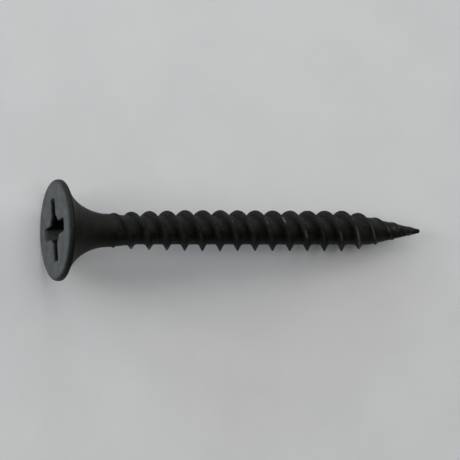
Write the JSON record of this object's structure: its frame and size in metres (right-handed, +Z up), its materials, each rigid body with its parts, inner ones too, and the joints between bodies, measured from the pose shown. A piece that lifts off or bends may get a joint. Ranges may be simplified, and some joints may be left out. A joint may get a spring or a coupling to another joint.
{
  "type": "wood screw",
  "caption": "Bugle-head wood screw for board: cross recess, hollow flare under the head, fine twin-start thread and a sharp gimlet point.",
  "frame": {"origin": "centre of the head's flat top face", "axes": "+X along the screw's axis from the head to the point, +Z up with the screw lying on its side, +Y completes the right-handed frame"},
  "size_m": [0.032, 0.0082, 0.0082],
  "materials": {
    "head_phosphate": "matte",
    "shank_phosphate": "matte"
  },
  "bodies": {
    "root": {"head": "head_phosphate", "neck": "shank_phosphate", "threaded_core": "shank_phosphate", "point": "shank_phosphate", "thread_start_1": "shank_phosphate", "thread_start_2": "shank_phosphate"}
  },
  "joints": []
}
